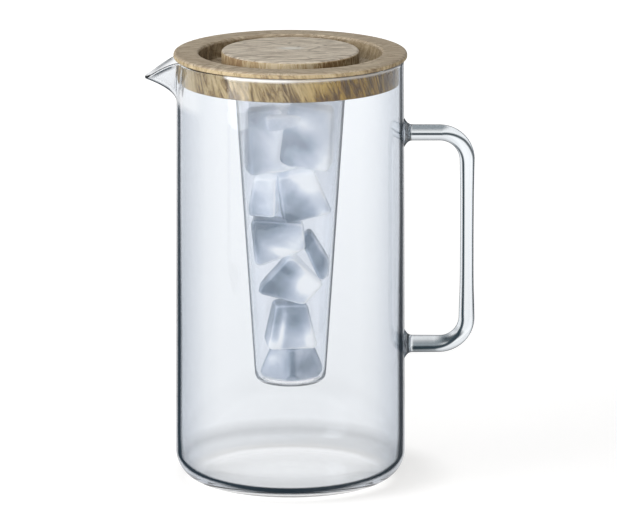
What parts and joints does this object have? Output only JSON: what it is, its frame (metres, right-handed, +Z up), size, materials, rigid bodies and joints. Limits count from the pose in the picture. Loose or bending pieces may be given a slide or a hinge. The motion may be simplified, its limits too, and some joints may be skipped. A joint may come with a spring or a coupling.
{
  "type": "pitcher with ice core",
  "caption": "Straight glass pitcher with a drawn lip and a rod handle, a turned wooden lid, and a tapered glass core of ice that hangs through the lid under a wooden knob.",
  "frame": {"origin": "middle of the rest face under the jug", "axes": "+Z up through the mouth, the pouring lip points to -X and the handle to +X"},
  "size_m": [0.1802, 0.1264, 0.2374],
  "materials": {
    "glass": "polished",
    "core_glass": "polished",
    "wood": "oiled, satin",
    "silicone": "matte",
    "ice": "wet"
  },
  "bodies": {
    "jug": {"jug_body": "glass", "handle": "glass"},
    "lid": {"lid_ring": "wood"},
    "core": {"core_tube": "core_glass", "core_gasket": "silicone", "ice_cube_01": "ice", "ice_cube_02": "ice", "ice_cube_03": "ice", "ice_cube_04": "ice", "ice_cube_05": "ice", "ice_cube_06": "ice", "ice_cube_07": "ice", "ice_cube_08": "ice", "ice_cube_09": "ice", "ice_cube_10": "ice", "ice_cube_11": "ice", "ice_cube_12": "ice"},
    "knob": {"knob": "wood", "knob_seal": "silicone"}
  },
  "joints": [
    {"name": "lid_lift", "type": "slide", "parent": "jug", "child": "lid", "axis": [0, 0, 1], "range_m": [0, 0.185]},
    {"name": "core_lift", "type": "slide", "parent": "lid", "child": "core", "axis": [0, 0, 1], "range_m": [0, 0.185]},
    {"name": "knob_lift", "type": "slide", "parent": "core", "child": "knob", "axis": [0, 0, 1], "range_m": [0, 0.03]}
  ]
}
